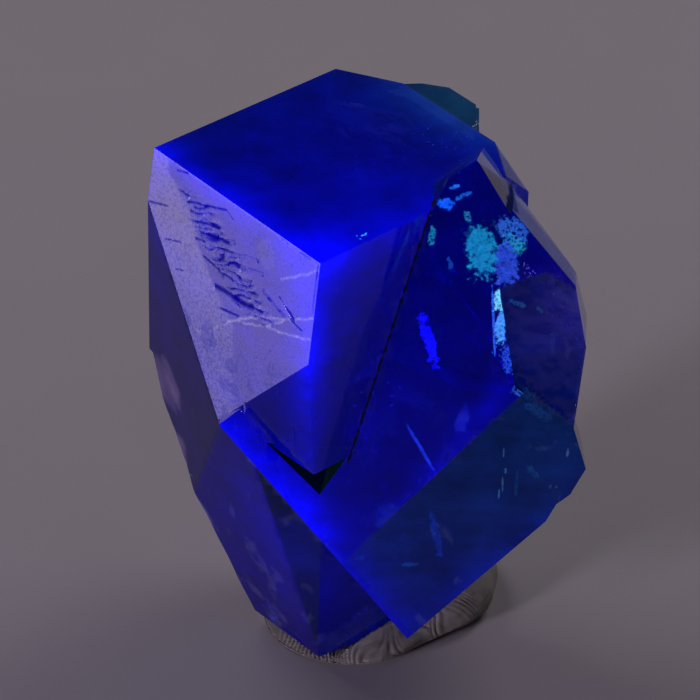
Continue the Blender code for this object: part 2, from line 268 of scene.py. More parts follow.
def dice(shape, sideLayer, mark, directions, pitch):
    # Cut the faces of one kind into small cells with parallel planes; other edges stay whole
    locked = shape.edges.layers.int.new("locked")
    inside = {edge for face in shape.faces if face[sideLayer] == mark for edge in face.edges}
    for edge in shape.edges:
        edge[locked] = edge not in inside
    corners = [vert.co.copy() for edge in inside for vert in edge.verts]
    for direction in directions:
        normal = (cubeTurn @ Vector(direction)).normalized()
        heights = [corner.dot(normal) for corner in corners]
        low, high = min(heights), max(heights)
        count = int((high - low) / (pitch * mm))
        for step in range(1, count + 1):
            faces = [face for face in shape.faces if face[sideLayer] == mark]
            edges = [edge for edge in shape.edges if not edge[locked]]
            bmesh.ops.bisect_plane(
                shape, geom=[*shape.verts, *edges, *faces], dist=crystal["weld"] * mm,
                plane_co=normal * (low + step * (high - low) / (count + 1)), plane_no=normal,
            )
    shape.edges.layers.int.remove(locked)


# Relief of the etched face: s runs from the near corner along the top edge, t runs down, both in mm.
# A pair such as bandTop is where something sets in and where it is full.
relief = {
    "seed": 7,
    "band": ((14.8, 2.2), (11.3, 5.0), (7.2, 8.0)),  # middle line of the ridged band
    "bandWidth": (2.3, 3.0, 2.8),
    "bandTop": (1.2, 2.0),
    "bandFoot": (9.4, 8.4),
    "bandHaze": 0.42,           # how far the ground between the ridges is bared
    "ridgeStep": 0.68,          # mm from ridge to ridge
    "ridgeRun": 1.3,            # mm, how soon a ridge breaks off
    "ridgeSpread": (4.0, 1.5),  # contrast and weight of the runs
    "ridgeHeight": 0.34,
    "ridgeCrest": 0.8,          # shares of the step: the slope rises to here and drops after it
    "ridgeShadedGap": (0.06, 0.24),   # where the clear gap lies, and its width: painted shade under each crest, given as bare glass
    "ridgeLight": (0.62, 0.22),  # where the slope is palest, and how widely
    "ridgeWarp": 0.9,
    "warpSize": (2.4, 1.1),     # mm, along and across
    "slant": (-0.979, -0.205),  # along the ridges, towards the near corner
    "lateTurn": 0.30,           # how far the last ridges turn down
    "lateRange": (16.0, 4.0),
    "riserDepth": 0.08,
    "veinWidth": 0.09,
    "veinHeight": 0.03,
    "veinWave": 0.05,
    "hillock": ((6.0, 2.45), 1.25),
    "hillockHeight": 0.05,
    "hillockEdge": 0.15,
    "hillockPale": 0.35,
    "rim": (0.22, 0.12),        # mm, worn pale line under the top edge
    "haze": 0.24,               # how far the ground beside the terrace is bared
    "pits": 150,
    "pitField": ((1.5, 19.0), (7.0, 19.0)),
    "pitDepth": 0.06,
    "pitReach": (0.10, 0.24),
    "pitClear": 0.45,
    "thin": (6.0, 14.0),        # the frost grows thinner from here downwards
    "thinMost": 0.42,
    "patches": (9.0, 13.0),     # patches low on the face where the frost is thinner, so they show darker
    "patchSize": 1.6,
    "patchSpread": (1.6, 0.3),  # contrast and weight
    "patchMost": 0.6,
    # start, end, half width: clear risers and grooves
    "risers": [
        ((20.6, 5.15), (18.3, 4.4), 0.09), ((15.7, 2.6), (11.3, 1.1), 0.13),
        ((11.3, 1.1), (10.4, 1.5), 0.08), ((17.6, 0.6), (16.2, 0.2), 0.12),
        ((13.8, 3.5), (11.7, 3.0), 0.14), ((12.9, 4.1), (10.4, 3.6), 0.16),
        ((14.6, 5.5), (13.3, 5.1), 0.12), ((18.2, 7.5), (16.3, 6.8), 0.07),
        ((16.7, 9.6), (15.6, 9.2), 0.07), ((11.6, 8.5), (7.0, 7.9), 0.34),
        ((13.4, 6.6), (9.6, 6.9), 0.16), ((4.0, 5.4), (2.3, 6.5), 0.22),
        ((10.8, 10.2), (8.6, 9.7), 0.14), ((2.6, 6.7), (1.2, 7.0), 0.12),
    ],
    # start, end: thin light seams, standing a little proud
    "veins": [
        ((3.8, 3.4), (1.7, 1.9)), ((1.7, 1.9), (-0.2, 0.5)), ((13.6, 13.8), (12.2, 13.4)),
        ((12.2, 13.4), (9.0, 10.3)), ((9.0, 10.3), (6.3, 8.5)), ((6.3, 8.5), (3.0, 6.9)),
        ((3.0, 6.9), (-0.1, 5.1)), ((9.0, 10.3), (7.1, 9.7)), ((7.1, 9.7), (5.1, 8.7)),
        ((5.1, 8.7), (3.4, 8.4)), ((3.4, 8.4), (0.0, 7.2)), ((5.1, 8.7), (3.0, 6.9)),
    ],
    # the smooth paler ground lies to the left of this line
    "terrace": ((18.6, -1.0), (18.5, 1.3), (13.9, 3.5), (14.5, 5.5), (11.7, 8.7), (9.0, 11.0), (8.0, 20.0)),
}


def alongStroke(s, t, start, end):
    # Distance from a straight stroke
    start, end = np.array(start), np.array(end)
    span = end - start
    share = ((s - start[0]) * span[0] + (t - start[1]) * span[1]) / np.hypot(*span) ** 2
    held = np.clip(share, 0.0, 1.0)
    return np.hypot(s - start[0] - held * span[0], t - start[1] - held * span[1])


def ridgedBand(s, t):
    # Ridges: a saw profile across the slant, each ridge broken into short runs
    slantS, slantT = relief["slant"]
    lean = relief["lateTurn"] * ramp(s, *relief["lateRange"]) ** 2
    along = s * slantS + t * (slantT + lean)
    across = t * -slantS + s * (slantT + lean)
    longWarp, crossWarp = relief["warpSize"]
    warp = np.array([
        noise.noise(Vector((x / longWarp, y / crossWarp, 3.0))) for x, y in zip(along, across)
    ])
    phase = across / relief["ridgeStep"] + relief["ridgeWarp"] * warp
    run = np.array([
        noise.noise(Vector((x / relief["ridgeRun"], y * 3.7, 8.0))) for x, y in zip(along, np.floor(phase))
    ])
    saw = phase - np.floor(phase)
    band = np.array(relief["band"])
    middle = np.interp(t, band[:, 1], band[:, 0])
    wide = np.interp(t, band[:, 1], relief["bandWidth"])
    within = np.exp(-((s - middle) / wide) ** 4)
    within *= ramp(t, *relief["bandTop"]) * ramp(t, *relief["bandFoot"])
    contrast, weight = relief["ridgeSpread"]
    return saw, np.clip(run * contrast + weight, 0.0, 1.0) * within, within


def etchedRelief(s, t):
    # Height in mm, how clear (unfrosted), how pale and how much of a light seam the etched face is
    chance = np.random.default_rng(relief["seed"])
    saw, ridge, within = ridgedBand(s, t)
    crest = relief["ridgeCrest"]
    height = relief["ridgeHeight"] * ridge * (ramp(saw, 0.0, crest) - ramp(saw, crest, 1.0))
    # Painted shade and light: the clear gap under each crest stands for its shaded lower side, and the
    # slope is painted paler where it faces the light
    gapPlace, gapWidth = relief["ridgeShadedGap"]
    gap = np.minimum(np.abs(saw - gapPlace), np.abs(saw - gapPlace - 1.0))
    clear = relief["bandHaze"] * within
    clear = np.maximum(clear, np.clip(1.4 * ridge, 0.0, 1.0) * np.exp(-(gap / gapWidth) ** 4))
    lightPlace, lightWidth = relief["ridgeLight"]
    lit = ridge * np.exp(-((saw - lightPlace) / lightWidth) ** 2)
    for start, end, width in relief["risers"]:
        groove = np.exp(-(alongStroke(s, t, start, end) / width) ** 4)
        height -= relief["riserDepth"] * groove
        clear = np.maximum(clear, groove)
    vein = np.zeros_like(s)
    wave = relief["veinWave"]
    for start, end in relief["veins"]:
        distance = alongStroke(s + wave * np.sin(t * 5.1), t + wave * np.sin(s * 4.7), start, end)
        vein = np.maximum(vein, np.exp(-(distance / relief["veinWidth"]) ** 2))
    height += relief["veinHeight"] * vein
    for _ in range(relief["pits"]):
        centre = [chance.uniform(*span) for span in relief["pitField"]]
        reach = chance.uniform(*relief["pitReach"])
        pit = np.exp(-((s - centre[0]) ** 2 + ((t - centre[1]) * 1.3) ** 2) / reach ** 2)
        height -= relief["pitDepth"] * pit
        clear = np.maximum(clear, relief["pitClear"] * pit)
    clear = np.maximum(clear, relief["thinMost"] * ramp(t, *relief["thin"]))
    terrace = np.array(relief["terrace"])
    edge = np.interp(t, terrace[:, 1], terrace[:, 0])
    pale = np.maximum(ramp(s, edge - 0.25, edge + 0.25), lit)
    clear = np.maximum(clear, relief["haze"] * (1.0 - pale))
    centre, reach = relief["hillock"]
    fromCentre = np.hypot(s - centre[0], (t - centre[1]) * 0.9)
    mound = ramp(fromCentre, reach, reach - relief["hillockEdge"])
    height += relief["hillockHeight"] * mound
    pale = np.maximum(pale, relief["hillockPale"] * mound)
    size = relief["patchSize"]
    patch = np.array([noise.noise(Vector((x / size, y / size, 5.0))) for x, y in zip(s, t)])
    contrast, weight = relief["patchSpread"]
    patch = np.clip(patch * contrast + weight, 0.0, relief["patchMost"])
    clear = np.maximum(clear, ramp(t, *relief["patches"]) * patch)
    pale = np.maximum(pale, ramp(t, *relief["rim"]))
    return height, clear, pale, vein


def carveEtched(shape, sideLayer, etchedMark):
    # Inner points of the etched face move out or in along its outward direction
    layers = [shape.verts.layers.float.new(name) for name in ("clear", "pale", "vein")]
    inner = [vert for vert in shape.verts if all(face[sideLayer] == etchedMark for face in vert.link_faces)]
    local = np.array([cubeTurn.inverted() @ (vert.co / mm - nearCorner) for vert in inner])
    height, clear, pale, vein = etchedRelief(local[:, 1], -local[:, 2])
    outward = (cubeTurn @ etchedOutward) * mm
    for vert, rise, *values in zip(inner, height, clear, pale, vein):
        vert.co += outward * float(rise)
        for layer, value in zip(layers, values):
            vert[layer] = float(value)


def roughenBreak(shape, sideLayer, kindLayer, brokenMark, wornMark):
    # Fine hackly steps, only inwards
    wide, fine = crystal["unevenness"]
    for vert in shape.verts:
        if all(face[kindLayer] == brokenMark for face in vert.link_faces):
            place = cubeTurn.inverted() @ (vert.co / mm)
            steps = noise.noise(place * wide) + 0.5 * noise.noise(place * fine)
            if vert.link_faces[0][sideLayer] == wornMark:
                deep, swing = crystal["wear"]
            else:
                deep, swing = crystal["hackle"]
                steps = round(steps * crystal["hackleLevels"]) / crystal["hackleLevels"]
            vert.co -= vert.normal * mm * (deep + swing * steps)


def buildCrystal():
    shape = bmesh.new()
    shape.from_mesh(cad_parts["fluorite"].data)
    bmesh.ops.remove_doubles(shape, verts=shape.verts, dist=crystal["weld"] * mm)
    flat = radians(crystal["flatWithin"])
    bmesh.ops.dissolve_limit(shape, angle_limit=flat, verts=shape.verts, edges=shape.edges)
    shape.normal_update()
    names = [*crystal["sides"], "broken", "plain"]
    kinds = [*crystal["pitch"]]
    sideLayer = shape.faces.layers.int.new("side")
    kindLayer = shape.faces.layers.int.new("kind")
    for face in shape.faces:
        side = sideOf(face)
        face[sideLayer] = names.index(side)
        face[kindLayer] = kinds.index("broken" if side == "worn" else side if side in kinds else "plain")
    upright = ((1, 0, 0), (0, 1, 0), (0, 0, 1))
    slantS, slantT = relief["slant"]
    slanting = ((0.0, slantS, -slantT), (0.0, slantT, slantS))
    for kind, pitch in crystal["pitch"].items():
        dice(shape, kindLayer, kinds.index(kind), slanting if kind == "etched" else upright, pitch)
    print("crystal cut into", len(shape.faces), "cells")
    carveEtched(shape, sideLayer, names.index("etched"))
    roughenBreak(shape, sideLayer, kindLayer, kinds.index("broken"), names.index("worn"))

    bmesh.ops.triangulate(shape, faces=shape.faces)
    mesh = newMesh("fluoriteCrystal", shape)
    paintGlow(mesh, names)
    mesh.set_sharp_from_angle(angle=radians(crystal["sharpFrom"]))
    piece = newObject("fluorite_crystal", mesh)
    mesh.materials.append(makeFluorite())
    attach(piece, "root")
    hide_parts("fluorite")
    print("crystal has", len(mesh.polygons), "triangles")
    return piece


# Fluorescence, painted light: how blue each side glows, painted lighter towards a point, and where the
# light gathers, painted as bright bands along the edges.
# All places are in mm on the cube's axes, those of twinGathers on the twin's.
glow = {
    # side: colour near the point, colour far from it, the point, how far the change takes
    "sides": {
        "top": ("#0000a0", "#00063c", (0, 2, 0), 15.0),
        "etched": ("#0a00a0", "#080078", (0, 0, 0), 14.0),
        "nearFront": ("#00006c", "#00004c", (0, 0, -6), 14.0),
        "nearLeft": ("#00006c", "#000060", (0, 0, -14), 10.0),
        "nearChip": ("#00006c", "#000060", (0, 0, -14), 10.0),
        "slab": ("#00006a", "#00004e", (8, -1, -19), 12.0),
        "lowGround": ("#000052", "#051a46", (2, -8, -36), 14.0),
        "worn": ("#020a4c", "#020a4c", (0, 0, 0), 12.0),
        "bevel": ("#121848", "#1a2250", (23, -4, -8), 6.0),
        "leftSide": ("#050064", "#06002c", (0, 20, -6), 9.0),
        "lowLeft": ("#06007c", "#050040", (0, 2, -26), 6.0),
        "lowFront": ("#000060", "#00042c", (2, 0, -36), 6.0),
        **dict.fromkeys(crystal["shadowed"], ("#000402", "#000402", (0, 0, 0), 10.0)),
        "broken": ("#00061c", "#00061c", (0, 0, 0), 10.0),
        "plain": ("#000620", "#000620", (0, 0, 0), 10.0),
    },
    # side: colour and amount of the milkiness under the face
    "milk": {
        "lowGround": ("#101c38", 0.42), "worn": ("#0a1030", 0.3), "bevel": ("#343c60", 0.8),
        "leftSide": ("#120e4c", 0.55), "lowLeft": ("#16125a", 0.35), "lowFront": ("#101030", 0.2),
        "broken": ("#20205c", 0.3), "plain": ("#141c38", 0.3),
    },
    # milky places: point, reach, colour, amount
    "milkPoints": [
        ((25, 9, -1), 5.5, "#0c3040", 0.8),             # the lumps at the right back of the top
        ((27, 13, -3), 6.0, "#0c3040", 0.8),
        ((24, -2, -16), 4.0, "#4a3a80", 0.6),           # right edge
        ((-0.5, 19, -23), 4.0, "#75678c", 0.8),         # left side
        ((-1, 17, -29), 4.0, "#75678c", 0.7),
        ((-1.5, 10, -36), 3.5, "#5a4888", 0.45),
        ((19.5, 0.5, 0), 4.0, "#141c48", 0.85),         # right corner of the top
        ((2.5, 2, -31), 4.5, "#14145c", 0.8),           # foot
        ((3.5, 1, -36), 4.0, "#14145c", 0.7),
    ],
    # point, reach, colour added to the glow there
    "lights": [
        ((25, 9, 0), 5.0, "#061c30"), ((27, 13, 0), 6.0, "#061c30"), ((24, -2, -16), 4.0, "#1c1050"),
        ((12.0, 6.0, 0), 5.0, "#000034"), ((19.5, 0.5, 0), 4.0, "#02062c"), ((1.5, 4, -32), 5.0, "#000058"),
        ((18.5, -10, -8), 4.0, "#140c3c"),
    ],
    # start, end, strength at the start and at the end, reach, sides it shows on
    "gathers": [
        ((0, 20.6, 0), (0, 0, 0), 0.62, 0.55, 1.3, ("top", "etched")),
        ((0, 0, 0), (0, 0, 0), 0.50, 0.50, 4.2, ("top", "nearFront", "etched")),
        ((0, 0, 0), (13.5, 0, 0), 0.35, 0.30, 1.5, ("top", "nearFront")),
        ((0, 0, 0), (-0.8, 0, -9.5), 0.62, 0.62, 1.5, ("nearFront", "etched", "nearLeft")),
        ((-0.8, 0, -9.5), (-1.5, 0, -21.0), 0.62, 0.42, 1.5, ("nearFront", "nearLeft")),
    ],
    "twinGathers": [
        ((-8.0, -18.1, 8.17), (-17.0, -18.1, 8.17), 0.80, 0.66, 2.2, ("slab", "lowGround")),
        ((-17.0, -18.1, 8.17), (-32.6, -18.1, 8.17), 0.66, 0.12, 1.6, ("slab", "lowGround")),
        ((-19.5, 2.2, 8.17), (-22.3, -7.3, 8.17), 0.22, 0.18, 0.9, ("slab",)),
        ((-22.3, -7.3, 8.17), (-22.4, -12.0, 8.17), 0.18, 0.08, 0.9, ("slab",)),
        ((-34.0, -12.0, 8.9), (-33.0, 1.0, 8.9), 0.28, 0.10, 2.2, ("lowGround",)),
    ],
    "gatherFall": 1.4,  # how sharply a gather fades out
}


def paintGlow(mesh, names):
    # Glow, milkiness, frosting and shade, at every corner of every face
    corners = len(mesh.loops)
    index = np.empty(corners, np.int32)
    mesh.loops.foreach_get("vertex_index", index)
    place = np.empty(len(mesh.vertices) * 3)
    mesh.vertices.foreach_get("co", place)
    place = (place.reshape(-1, 3)[index] / mm - np.array(nearCorner)) @ np.array(cubeTurn)
    twinPlace = place @ np.array(twinTurn)
    side = np.empty(len(mesh.polygons), np.int32)
    mesh.attributes["side"].data.foreach_get("value", side)
    side = np.repeat(side, 3)

    def onSides(chosen):
        return np.isin(side, [names.index(name) for name in chosen])

    def nearness(point, reach):
        return np.exp(-(np.linalg.norm(place - np.array(point), axis=1) / reach) ** 2)

    colour = np.zeros((corners, 4))
    colour[:, 3] = 1.0
    for name, (nearColour, farColour, point, reach) in glow["sides"].items():
        chosen = onSides([name])
        away = np.linalg.norm(place[chosen] - np.array(point), axis=1, keepdims=True)
        share = np.exp(-away / reach)
        nearColour, farColour = np.array(linear(nearColour)), np.array(linear(farColour))
        colour[chosen, :3] = nearColour * share + farColour * (1.0 - share)
    for axes, gathers in ((place, glow["gathers"]), (twinPlace, glow["twinGathers"])):
        for start, end, first, last, reach, sides in gathers:
            start, end = np.array(start, float), np.array(end, float)
            chosen = onSides(sides)
            span = end - start
            share = np.clip((axes[chosen] - start) @ span / max(span @ span, 1e-9), 0.0, 1.0)
            distance = np.linalg.norm(axes[chosen] - start - share[:, None] * span, axis=1)
            fade = np.exp(-(distance / reach) ** glow["gatherFall"])
            colour[chosen, 2] += (first + (last - first) * share) * fade
    for point, reach, tint in glow["lights"]:
        share = nearness(point, reach)
        share[onSides(["etched"])] = 0.0
        colour[:, :3] += share[:, None] * np.array(linear(tint))
    addAttribute(mesh, "glow", "CORNER", colour)

    milky = np.zeros((corners, 4))
    for name, (tint, amount) in glow["milk"].items():
        milky[onSides([name])] = (*linear(tint), amount)
    for point, reach, tint, amount in glow["milkPoints"]:
        share = amount * nearness(point, reach)
        milky[share > milky[:, 3], :3] = linear(tint)
        milky[:, 3] = np.maximum(milky[:, 3], share)
    milky[onSides(crystal["clearSides"]), 3] = 0.0
    addAttribute(mesh, "milk", "CORNER", milky)
    for label, sides in (("frosted", ["etched"]), ("rough", ["broken"]), ("shade", crystal["shadowed"])):
        addAttribute(mesh, label, "CORNER", onSides(sides))


# Fluorite, natural growth faces: clear and slightly greasy, IOR 1.434, deep blue through its thickness,
# frosted lilac where the face is etched. Under ultraviolet light it glows saturated blue; that glow is
# painted light, an emission colour painted on the faces.
fluoriteLook = {
    "ior": 1.434,
    "clearTint": "#d8dcff",
    "frostTint": "#8a7aae",
    "paleTint": "#b9b3c4",
    "seamTint": "#ffffff",
    # the hollow's nearly black colour is painted shade
    "hollowShadeTint": "#0d1d12",
    "frostCover": 0.8,
    "milkCover": 5.0,           # the milk's colour is full where a fifth of it is there
    "polish": 0.04,
    "frostRoughness": 0.55,
    "brokenRoughness": 0.22,
    "absorbColour": "#2750ef",
    "absorbDensity": 270.0,     # per metre
    # size in mm, and the weakest and strongest share
    "cloud": (4.0, 0.62, 1.28),  # patches of the glow
    "streak": (3.4, 0.35, 1.2),  # milky streaks
    "striae": (1.1, 0.8, 1.2),  # growth layers, seen as faint level streaks
    "pitting": (0.25, 0.5, 1.25),  # grain of the etched face
    "striaeStretch": (0.2, 0.2, 1.0),
    "bump": 0.8,
    "bumpDepth": 0.08,          # mm
}


def makeFluorite():
    look = fluoriteLook
    material, tree, shader = newMaterial("naturalFluoriteUnderUv")
    glowing = addNode(tree, "Attribute", attribute_name="glow")
    milk = addNode(tree, "Attribute", attribute_name="milk")
    painted = {
        name: addNode(tree, "Attribute", attribute_name=name).outputs["Fac"]
        for name in ("frosted", "rough", "shade", "clear", "pale", "vein")
    }
    place = addNode(tree, "TexCoord").outputs["Object"]
    flattened = addNode(tree, "VectorMath", {0: place, 1: look["striaeStretch"]}, operation="MULTIPLY")

    # Four patterns of noise, each as a pattern and as a share between its weakest and strongest
    patterns, shares = {}, {}
    for name, vector, settings in (
        ("cloud", place, {"Detail": 4.0, "Roughness": 0.55}),
        ("pitting", place, {"Detail": 3.0}),
        ("streak", place, {"Detail": 6.0, "Distortion": 0.35}),
        ("striae", flattened, {"Detail": 5.0, "Roughness": 0.7}),
    ):
        size, weakest, strongest = look[name]
        patterns[name] = addNode(tree, "TexNoise", {
            "Vector": vector, "Scale": patternScale(size), **settings,
        })
        shares[name] = addNode(tree, "MapRange", {
            "Value": patterns[name], "From Min": 0.3, "From Max": 0.7,
            "To Min": weakest, "To Max": strongest,
        })

    # Frost: full on the etched face, worn off by clear risers, grooves and pits
    worn = addNode(tree, "Math", {0: 1.0, 1: painted["clear"]}, operation="SUBTRACT", use_clamp=True)
    bared = addNode(tree, "Math", {0: painted["frosted"], 1: worn}, operation="MULTIPLY")
    frost = addNode(tree, "Math", {0: bared, 1: shares["pitting"]}, operation="MULTIPLY", use_clamp=True)
    opaque = addNode(tree, "Math", {0: frost, 1: look["frostCover"]}, operation="MULTIPLY")
    milkiness = addNode(tree, "Math", {0: milk.outputs["Alpha"], 1: shares["streak"]},
                        operation="MULTIPLY", use_clamp=True)
    misted = addNode(tree, "Math", {0: opaque, 1: milkiness}, operation="MAXIMUM")
    covered = addNode(tree, "Math", {0: misted, 1: painted["shade"]}, operation="MAXIMUM")
    through = addNode(tree, "Math", {0: 1.0, 1: covered}, operation="SUBTRACT", use_clamp=True)

    # Colour: clear, milky, frosted or dark, in that order; the dark is painted shade in the hollow
    frostTint = addNode(tree, "Mix", {
        "Factor": painted["pale"], "A": rgba(look["frostTint"]), "B": rgba(look["paleTint"]),
    }, data_type="RGBA")
    seamed = addNode(tree, "Mix", {
        "Factor": painted["vein"], "A": frostTint, "B": rgba(look["seamTint"]),
    }, data_type="RGBA")
    milkCover = addNode(tree, "Math", {0: milkiness, 1: look["milkCover"]},
                        operation="MULTIPLY", use_clamp=True)
    milked = addNode(tree, "Mix", {
        "Factor": milkCover, "A": rgba(look["clearTint"]), "B": milk.outputs["Color"],
    }, data_type="RGBA")
    tint = addNode(tree, "Mix", {"Factor": frost, "A": milked, "B": seamed}, data_type="RGBA")
    dark = addNode(tree, "Mix", {
        "Factor": painted["shade"], "A": tint, "B": rgba(look["hollowShadeTint"]),
    }, data_type="RGBA")

    frostRough = addNode(tree, "Mix", {"Factor": frost, "A": look["polish"], "B": look["frostRoughness"]})
    roughness = addNode(tree, "Mix", {
        "Factor": painted["rough"], "A": frostRough, "B": look["brokenRoughness"],
    })

    uneven = addNode(tree, "Math", {0: shares["cloud"], 1: shares["striae"]}, operation="MULTIPLY")
    light = addNode(tree, "VectorMath", {0: glowing.outputs["Color"], "Scale": uneven}, operation="SCALE")

    bumpy = addNode(tree, "Math", {0: patterns["pitting"], 1: frost}, operation="MULTIPLY")
    bump = addNode(tree, "Bump", {
        "Height": bumpy, "Strength": look["bump"], "Distance": look["bumpDepth"] * mm,
    })
    fillNode(tree, shader, {
        "Base Color": dark, "Transmission Weight": through, "Roughness": roughness, "IOR": look["ior"],
        "Emission Color": light, "Emission Strength": 1.0, "Normal": bump,
    })

    volume = addNode(tree, "VolumeAbsorption", {
        "Color": rgba(look["absorbColour"]), "Density": look["absorbDensity"],
    })
    fillNode(tree, tree.nodes["Material Output"], {"Volume": volume})
    return material


fluorite = buildCrystal()

# Healed fractures and flakes inside the crystal: thin sheets full of tiny cavities that scatter the glow;
# that glow and the flakes' sparkle are painted light, given as emission
veils = {
    "seed": 23,
    "glassDepth": 0.55,         # mm below the face
    "depthSpread": (0.7, 1.4),  # the flakes' share of that depth
    "shallowest": 0.05,         # mm, nothing comes nearer to the surface
    "wave": 0.16,               # mm, how far a sheet undulates
    "cells": 26,
    "overlap": (1.12, 1.15),    # a sheet's size to its visible part, along and across
    "narrow": 0.2,              # mm, a sheet narrower than this is kept from fraying away
    "narrowCover": 2.2,
    # start and end on the second cube's front face, half width in mm, colour, strength, crackle,
    # height of that face
    "sheets": {
        "lensPatch": ((-7.3, 9.5), (-11.3, 7.0), 1.25, "#128ca8", 1.0, 0.15, 8.3),
        "palePatch": ((-9.9, 10.1), (-13.0, 7.9), 1.05, "#2c50c0", 0.9, 0.15, 8.4),
        "cracklePatch": ((-8.2, 11.3), (-10.9, 11.2), 1.1, "#2a64b0", 0.8, 1.0, 8.5),
        "crackleGreen": ((-9.3, 10.4), (-11.5, 10.9), 0.75, "#1c9c9c", 0.8, 1.0, 8.5),
        "tealPatch": ((-3.9, 7.9), (-4.8, 9.2), 0.5, "#0a64f0", 1.0, 0.2, 8.17),
        "tealTail": ((-4.5, 9.3), (-4.8, 11.0), 0.2, "#1060c0", 0.9, 0.3, 8.17),
        "greenFleck": ((-5.2, 6.6), (-6.3, 5.3), 0.32, "#14788c", 1.0, 0.8, 8.17),
        "smallFleck": ((-3.5, 9.6), (-3.8, 10.4), 0.22, "#1478e0", 1.0, 0.2, 8.17),
        "cornerFleck": ((-5.7, 9.4), (-6.8, 9.1), 0.28, "#2080a0", 0.8, 1.0, 8.17),
        "dimFleck": ((-8.2, 5.9), (-9.1, 5.2), 0.2, "#0a4890", 0.8, 0.4, 8.17),
        "brightStreak": ((-12.7, 7.5), (-14.2, 6.1), 0.5, "#78e0f0", 1.0, 0.35, 8.0),
        "brightTail": ((-14.1, 6.4), (-16.5, 4.4), 0.45, "#4aa0f0", 1.0, 0.25, 8.0),
        "streakArm": ((-13.9, 7.3), (-15.2, 8.1), 0.26, "#5cd0d8", 1.0, 0.3, 8.3),
        "thinLine": ((-12.3, 6.95), (-17.0, 3.5), 0.1, "#2c64e0", 0.9, 0.3, 8.17),
        "lowSparkle": ((-16.7, 4.9), (-18.9, 3.4), 0.45, "#2050c8", 0.8, 1.0, 8.17),
        "smallSpot": ((-15.8, 8.7), (-16.5, 8.8), 0.18, "#4ab4a8", 1.0, 0.6, 8.6),
        "feather": ((-18.2, 8.5), (-20.0, 7.0), 0.22, "#1c5c80", 0.9, 0.9, 8.6),
        "blueStreak": ((-10.3, 1.2), (-15.2, -1.0), 0.55, "#0404ff", 1.0, 0.0, 8.17),
        "paleShard": ((-24.9, -9.5), (-28.7, -11.5), 0.36, "#2c54d8", 1.0, 0.0, 8.9),
        "tealHaze": ((-25.0, -15.3), (-26.4, -11.8), 0.9, "#0e3484", 0.9, 0.1, 8.9),
        "tallHaze": ((-22.2, -11.8), (-25.2, -14.2), 1.1, "#081c64", 0.7, 0.0, 8.9),
        "cyanSpot": ((-27.3, -14.5), (-28.0, -13.4), 0.16, "#28a0f0", 1.0, 0.1, 8.9),
        "leftSpot": ((-24.5, -17.3), (-24.8, -16.5), 0.24, "#1464dc", 0.9, 0.0, 8.9),
        "dashUpper": ((-24.1, -1.2), (-24.7, -1.7), 0.07, "#a0e8f0", 1.0, 0.0, 8.9),
        "dashMiddle": ((-26.1, -2.9), (-27.1, -3.7), 0.08, "#a0f0f0", 1.0, 0.0, 8.9),
        "dashDot": ((-25.6, -2.2), (-26.0, -2.5), 0.09, "#b0f0ff", 1.0, 0.0, 8.9),
        "dashLower": ((-26.8, -3.8), (-27.4, -4.35), 0.08, "#90e0e8", 1.0, 0.0, 8.9),
        "tealSliver": ((-26.4, -1.6), (-28.1, -3.1), 0.13, "#1c7ca0", 1.0, 0.2, 8.9),
        "dottedTrail": ((-26.5, -0.6), (-28.2, -0.7), 0.4, "#2c8c98", 0.9, 1.0, 8.9),
        "rightGlint": ((-27.3, 3.0), (-27.9, 2.4), 0.1, "#c0dce0", 1.0, 0.0, 8.9),
        "pairGlintA": ((-29.25, -0.5), (-29.1, -0.15), 0.1, "#c8f0f4", 1.0, 0.0, 8.9),
        "pairGlintB": ((-29.55, -0.1), (-29.45, 0.2), 0.1, "#c8f0f4", 1.0, 0.0, 8.9),
        "murkyHaze": ((-24.0, 4.0), (-31.0, -3.5), 3.2, "#0c2c5c", 0.55, 0.1, 8.9),
        "topMurk": ((-18.5, 9.0), (-23.5, 5.0), 2.2, "#08142c", 0.6, 0.1, 8.7),
        "upperTrail": ((-20.2, 2.8), (-22.1, 3.5), 0.45, "#24608c", 0.8, 1.0, 8.9),
        "lowerTrail": ((-22.1, 2.6), (-24.7, 3.4), 0.5, "#3c80a8", 0.8, 1.0, 8.9),
        "slabWisp": ((-19.0, -1.0), (-20.6, -3.2), 0.5, "#101890", 0.7, 0.3, 8.17),
        "slabLine": ((-17.5, -6.0), (-22.0, -6.8), 0.14, "#1030d0", 0.8, 0.4, 8.17),
    },
    # centre and spread on the same face, number, size in mm, colour, height of the face
    "flakes": [
        ((-13.0, -5.5), (2.4, 4.2), 18, (0.06, 0.20), "#0a14e0", 8.17),
        ((-9.5, 11.0), (1.6, 0.9), 26, (0.05, 0.13), "#3ca0c8", 8.5),
        ((-18.0, 4.2), (1.6, 1.0), 22, (0.05, 0.12), "#3a78e0", 8.5),
        ((-22.5, 3.4), (1.8, 0.7), 26, (0.05, 0.12), "#5ab4c8", 8.9),
        ((-27.5, -0.5), (1.3, 1.2), 20, (0.04, 0.10), "#5cc8c8", 8.9),
        ((-30.5, 0.3), (0.8, 1.0), 16, (0.04, 0.10), "#48a8b0", 8.9),
        ((-18.5, 9.6), (3.2, 0.8), 80, (0.05, 0.16), "#6a58b0", 8.4),
        ((-24.0, 6.6), (2.6, 0.9), 60, (0.05, 0.14), "#5a48b8", 8.6),
        ((-13.5, 10.2), (2.2, 0.5), 40, (0.05, 0.14), "#5c5cb0", 8.4),
    ],
    # Under the top face and in the first cube: centre and spread in mm on its axes, number, size, colour
    "cubeFlakes": [
        ((14.5, 8.5, -0.7), (4.5, 2.5, 0.3), 46, (0.03, 0.09), "#1c28ff"),
        ((5.2, 1.0, -0.4), (0.6, 0.3, 0.1), 7, (0.12, 0.30), "#30d0f0"),
        ((19.5, 7.0, -0.6), (2.0, 3.0, 0.3), 24, (0.04, 0.12), "#1450c0"),
        ((6.5, 0.7, -14.0), (2.0, 0.2, 6.0), 26, (0.05, 0.14), "#0c18f0"),
        ((0.6, 9.0, -35.5), (0.6, 3.5, 3.5), 90, (0.05, 0.15), "#5a48b0"),
    ],
}
